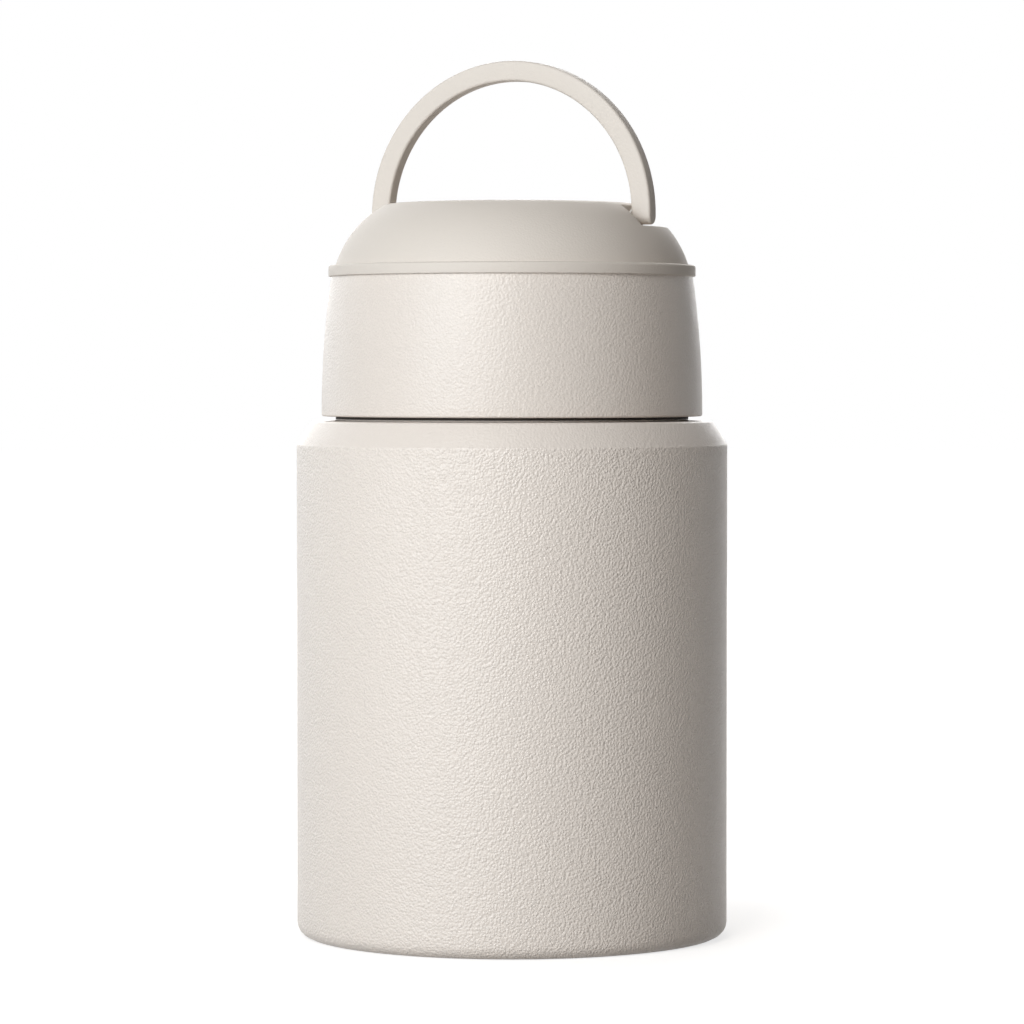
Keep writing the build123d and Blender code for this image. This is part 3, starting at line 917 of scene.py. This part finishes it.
class FOODJAR_OT_lid_dome(bpy.types.Operator):
    """Moulded cap with a channel round its back, where the folded handle lies"""

    bl_idname = "food_jar.lid_dome"
    bl_label = "Lid dome"

    def execute(self, context):
        sizes, finishes = context.scene.jar_lid, context.scene.jar_finishes
        lead = sizes.channel_lead
        back_sweep = pi + 2 * lead
        back_steps = round(TURN_STEPS * back_sweep / (2 * pi))
        mesh = bmesh.new()
        self.section(mesh, sizes, False).spin(2 * pi - back_sweep, pi + lead, TURN_STEPS - back_steps)
        self.section(mesh, sizes, True).spin(back_sweep, -lead, back_steps)
        bmesh.ops.remove_doubles(mesh, verts=mesh.verts, dist=MERGE_DISTANCE)
        open_edges = [edge for edge in mesh.edges if edge.is_boundary]
        bmesh.ops.holes_fill(mesh, edges=open_edges, sides=0)
        bmesh.ops.recalc_face_normals(mesh, faces=mesh.faces)
        sharp = [
            edge for edge in mesh.edges
            if edge.calc_face_angle(0.0) > CRISP_ANGLE
            and min(vert.co.z for vert in edge.verts) > sizes.channel_floor - sizes.dome_edge
            and min(vert.co.xy.length for vert in edge.verts) > sizes.plateau_radius - sizes.dome_edge
        ]
        bmesh.ops.bevel(
            mesh, geom=sharp, offset=sizes.dome_edge, offset_type="OFFSET",
            segments=EDGE_STEPS, profile=0.5, affect="EDGES", material=-1, clamp_overlap=True,
        )
        bmesh.ops.recalc_face_normals(mesh, faces=mesh.faces)
        finish_piece("jar_lid_dome", mesh, "lid", "lid_plastic", "lid_dome", lid_plastic(finishes))
        return {"FINISHED"}

    def section(self, mesh, sizes, stepped):
        """The dome's section from the top's middle out, down, and back along the inside."""
        foot = Vector((dome_high.x, 0, body_high.z))
        rim = Vector((dome_high.x - sizes.dome_spread, 0, dome_high.z))
        half = (rim - foot) / 2
        inwards = Vector((-half.z, 0, half.x)).normalized()
        centre = foot + half + inwards * sqrt(sizes.dome_curve**2 - half.length_squared)
        round_height = dome_high.z - sizes.dome_rim_round - centre.z
        round_reach = sqrt((sizes.dome_curve - sizes.dome_rim_round) ** 2 - round_height**2)
        round_centre = centre + Vector((round_reach, 0, round_height))
        rim_angle = asin(round_height / (sizes.dome_curve - sizes.dome_rim_round))
        plateau_angle = acos((sizes.plateau_radius - centre.x) / sizes.dome_curve)
        floor_angle = asin((sizes.channel_floor - centre.z) / sizes.dome_curve)
        foot_angle = asin((foot.z - centre.z) / sizes.dome_curve)
        floor_radius = centre.x + sizes.dome_curve * cos(floor_angle)

        section = Section(mesh, 0.0, dome_high.z)
        section.line(round_centre.x, dome_high.z)
        section.arc(round_centre, rim_angle - pi / 2, RIM_STEPS)
        section.arc(centre, plateau_angle - rim_angle, 1)
        if stepped:
            section.line(sizes.plateau_radius, sizes.channel_floor)
            section.line(floor_radius, sizes.channel_floor)
        else:
            section.arc(centre, floor_angle - plateau_angle, SIDE_STEPS)
        section.arc(centre, foot_angle - floor_angle, FOOT_STEPS)

        chamber = sleeve_high.x - sizes.sleeve_taper - sizes.sleeve_gauge - sizes.sleeve_gap
        spigot = chamber - sizes.lid_wall - sizes.spigot_gap
        inner_curve = sizes.dome_curve - sizes.dome_wall
        ceiling = sizes.channel_floor - sizes.dome_wall
        spigot_angle = acos((spigot - sizes.spigot_wall - centre.x) / inner_curve)
        ceiling_angle = asin((ceiling - centre.z) / inner_curve)
        section.line(spigot, body_high.z)
        section.line(spigot, dome_low.z)
        section.line(spigot - sizes.spigot_wall, dome_low.z)
        section.line(spigot - sizes.spigot_wall, centre.z + inner_curve * sin(spigot_angle))
        section.arc(centre, ceiling_angle - spigot_angle, CEILING_STEPS)
        section.line(sizes.plateau_radius - sizes.dome_wall, ceiling)
        section.line(sizes.plateau_radius - sizes.dome_wall, dome_high.z - sizes.dome_wall)
        section.line(0.0, dome_high.z - sizes.dome_wall)
        return section


class FOODJAR_OT_handle(bpy.types.Operator):
    """Half-ring handle with round leg ends"""

    bl_idname = "food_jar.handle"
    bl_label = "Handle"

    def execute(self, context):
        sizes, finishes = context.scene.jar_handle, context.scene.jar_finishes
        middle = handle_high.x - sizes.width / 2
        pivot = Vector((middle, 0, sizes.pivot_height))
        arch_centre = Vector((0, 0, sizes.pivot_height + sizes.leg))
        mesh = bmesh.new()
        bmesh.ops.create_grid(mesh, x_segments=1, y_segments=2, size=0.5)
        bmesh.ops.scale(mesh, vec=(sizes.width, handle_high.y - handle_low.y, 1), verts=mesh.verts)
        bmesh.ops.translate(mesh, vec=pivot, verts=mesh.verts)
        corners = [vert for vert in mesh.verts if len(vert.link_edges) == 2]
        round_corners(mesh, corners, sizes.edge, ROUND_STEPS)
        inside = [edge for edge in mesh.edges if len(edge.link_faces) == 2]
        bmesh.ops.delete(mesh, geom=inside, context="EDGES_FACES")
        ring = mesh.edges[:]
        half_ring = [edge for edge in ring if sum(vert.co.y for vert in edge.verts) > 0]
        bmesh.ops.spin(
            mesh, geom=half_ring, cent=pivot, axis=(-1, 0, 0),
            angle=pi, steps=LEG_STEPS, use_duplicate=False,
        )
        risen = bmesh.ops.extrude_edge_only(mesh, edges=ring)["geom"]
        upper = [part for part in risen if isinstance(part, bmesh.types.BMVert)]
        upper_ring = [
            part for part in risen
            if isinstance(part, bmesh.types.BMEdge) and all(vert in upper for vert in part.verts)
        ]
        bmesh.ops.translate(mesh, vec=(0, 0, sizes.leg), verts=upper)
        bmesh.ops.spin(
            mesh, geom=upper + upper_ring, cent=arch_centre, axis=(0, -1, 0),
            angle=pi / 2, steps=TURN_STEPS // 4, use_duplicate=False,
        )
        bmesh.ops.mirror(mesh, geom=mesh.verts[:] + mesh.edges[:] + mesh.faces[:], axis="X")
        join_seams(mesh)
        finish_piece("jar_handle", mesh, "handle", "lid_plastic", "handle", lid_plastic(finishes))
        return {"FINISHED"}


class FOODJAR_OT_inner_pieces(bpy.types.Operator):
    """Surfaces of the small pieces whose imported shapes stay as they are"""

    bl_idname = "food_jar.inner_pieces"
    bl_label = "Inner pieces"

    def execute(self, context):
        finishes = context.scene.jar_finishes
        turned_steel = brushed_steel("jar_turned_steel", finishes.steel, roughness=0.26)
        refinish("pivot_pins", turned_steel)
        refinish("getter_holder", turned_steel)
        refinish("heat_shield", copper_foil("jar_copper_foil", finishes.copper))
        refinish("getter", pressed_alloy("jar_getter_alloy", finishes.tablet))
        refinish("vacuum_seal", seal_glass("jar_seal_glass", finishes.glass))
        refinish("lid_insulation", rigid_foam("jar_foam", finishes.foam))
        washer_plastic = moulded_plastic("jar_washer_plastic", finishes.washer, roughness=0.35)
        refinish("friction_washers", washer_plastic)
        return {"FINISHED"}


# ---------------------------------------------------------------- the studio
LAMP_DISTANCE = 1.5
LAMPS = (
    # name, azimuth from the camera, elevation, width, height, power, tint
    ("key", -44, 14, 0.5, 1.2, 12.3, (0.80, 0.91, 1.0)),
    ("front", -20, 16, 0.5, 1.2, 10.3, (0.985, 0.995, 1.0)),
    ("front_high", -20, 38, 0.5, 1.0, 7.0, (1.0, 0.98, 0.95)),
    ("edge", -135, 8, 0.6, 1.2, 3.0, (0.96, 0.985, 1.0)),
    ("back_left", -165, 25, 0.8, 1.2, 6.0, WHITE),
    ("back_right", 172, 25, 0.8, 1.2, 9.0, WHITE),
)


class FOODJAR_OT_stage(bpy.types.Operator):
    """Camera, pale floor, soft lamps and an even white surround"""

    bl_idname = "food_jar.stage"
    bl_label = "Stage"

    def execute(self, context):
        stage = context.scene.jar_stage
        self.camera(stage)
        self.floor(stage)
        self.surround(stage)
        for lamp in LAMPS:
            self.lamp(stage, *lamp)
        context.scene.view_settings.view_transform = "Standard"
        return {"FINISHED"}

    def camera(self, stage):
        """The camera, turned to the jar's axis."""
        data = bpy.data.cameras.new("camera")
        data.lens = stage.lens
        data.sensor_width = stage.sensor
        camera = add_object("camera", data)
        reach = stage.camera_distance
        camera.location = (
            reach * sin(stage.camera_turn), -reach * cos(stage.camera_turn), stage.camera_height
        )
        aim = Vector((0, 0, stage.aim_height)) - camera.location
        camera.rotation_euler = aim.to_track_quat("-Z", "Y").to_euler()
        bpy.context.scene.camera = camera

    def floor(self, stage):
        """A floor that is seen white, a little darker near the jar's foot."""
        mesh = bmesh.new()
        bmesh.ops.create_circle(mesh, cap_ends=True, segments=TURN_STEPS // 2, radius=stage.floor_radius)
        data = bpy.data.meshes.new("floor")
        mesh.to_mesh(data)
        mesh.free()
        floor = add_object("floor", data)
        surface = Surface("floor")
        across, along, _ = surface.xyz()
        away = surface.maths("SQRT", across * across + along * along)
        plain = surface.ramp(away, cover_high.x, stage.shadow_reach, stage.floor_white, 1.0)
        surface.set(
            base_color=stage.floor_colour, roughness=1.0, specular_ior_level=0.0,
            emission_color=surface.seen() * plain, emission_strength=1.0,
        )
        data.materials.append(surface.material)

    def surround(self, stage):
        """A world that is seen white and gives little light."""
        world = bpy.data.worlds.new("surround")
        world.use_nodes = True
        bpy.context.scene.world = world
        nodes = Nodes(world.node_tree)
        background = next(node for node in nodes.tree.nodes if node.type == "BACKGROUND")
        shown = nodes.blend(nodes.seen(), stage.fill, WHITE)
        nodes.feed(background.inputs["Color"], shown)

    def lamp(self, stage, name, azimuth, elevation, width, height, power, tint):
        """A soft lamp that faces the jar."""
        data = bpy.data.lights.new(name, "AREA")
        data.shape = "RECTANGLE"
        data.size = width
        data.size_y = height
        data.energy = power
        data.color = tint
        lamp = add_object(name, data)
        away = stage.camera_turn + radians(azimuth)
        level = cos(radians(elevation))
        way = Vector((level * sin(away), -level * cos(away), sin(radians(elevation))))
        aim = Vector((0, 0, stage.aim_height))
        lamp.location = aim + way * LAMP_DISTANCE
        lamp.rotation_euler = (-way).to_track_quat("-Z", "Y").to_euler()
        lamp.visible_camera = False


# ---------------------------------------------------------------- the add-on
MAKERS = (
    FOODJAR_OT_stage,
    FOODJAR_OT_outer_shell,
    FOODJAR_OT_base,
    FOODJAR_OT_inner_vessel,
    FOODJAR_OT_lid_sleeve,
    FOODJAR_OT_lid_body,
    FOODJAR_OT_plug_and_seal,
    FOODJAR_OT_lid_dome,
    FOODJAR_OT_handle,
    FOODJAR_OT_inner_pieces,
)
SETTINGS = {
    "jar_vessel": VesselSizes,
    "jar_thread": ThreadSizes,
    "jar_lid": LidSizes,
    "jar_handle": HandleSizes,
    "jar_finishes": Finishes,
    "jar_stage": StageSettings,
}


class FOODJAR_PT_pieces(bpy.types.Panel):
    """The jar's pieces, each made by its own button"""

    bl_idname = "FOODJAR_PT_pieces"
    bl_label = "Food Jar"
    bl_space_type = "VIEW_3D"
    bl_region_type = "UI"
    bl_category = "Food Jar"

    def draw(self, context):
        for maker in MAKERS:
            self.layout.operator(maker.bl_idname)


def register():
    for group in SETTINGS.values():
        bpy.utils.register_class(group)
    for maker in MAKERS:
        bpy.utils.register_class(maker)
    bpy.utils.register_class(FOODJAR_PT_pieces)
    for name, group in SETTINGS.items():
        setattr(bpy.types.Scene, name, bpy.props.PointerProperty(type=group))


def unregister():
    for name in SETTINGS:
        delattr(bpy.types.Scene, name)
    bpy.utils.unregister_class(FOODJAR_PT_pieces)
    for maker in reversed(MAKERS):
        bpy.utils.unregister_class(maker)
    for group in reversed(SETTINGS.values()):
        bpy.utils.unregister_class(group)


def main():
    register()
    for maker in MAKERS:
        family, name = maker.bl_idname.split(".")
        getattr(getattr(bpy.ops, family), name)()


if __name__ == "__main__":
    main()
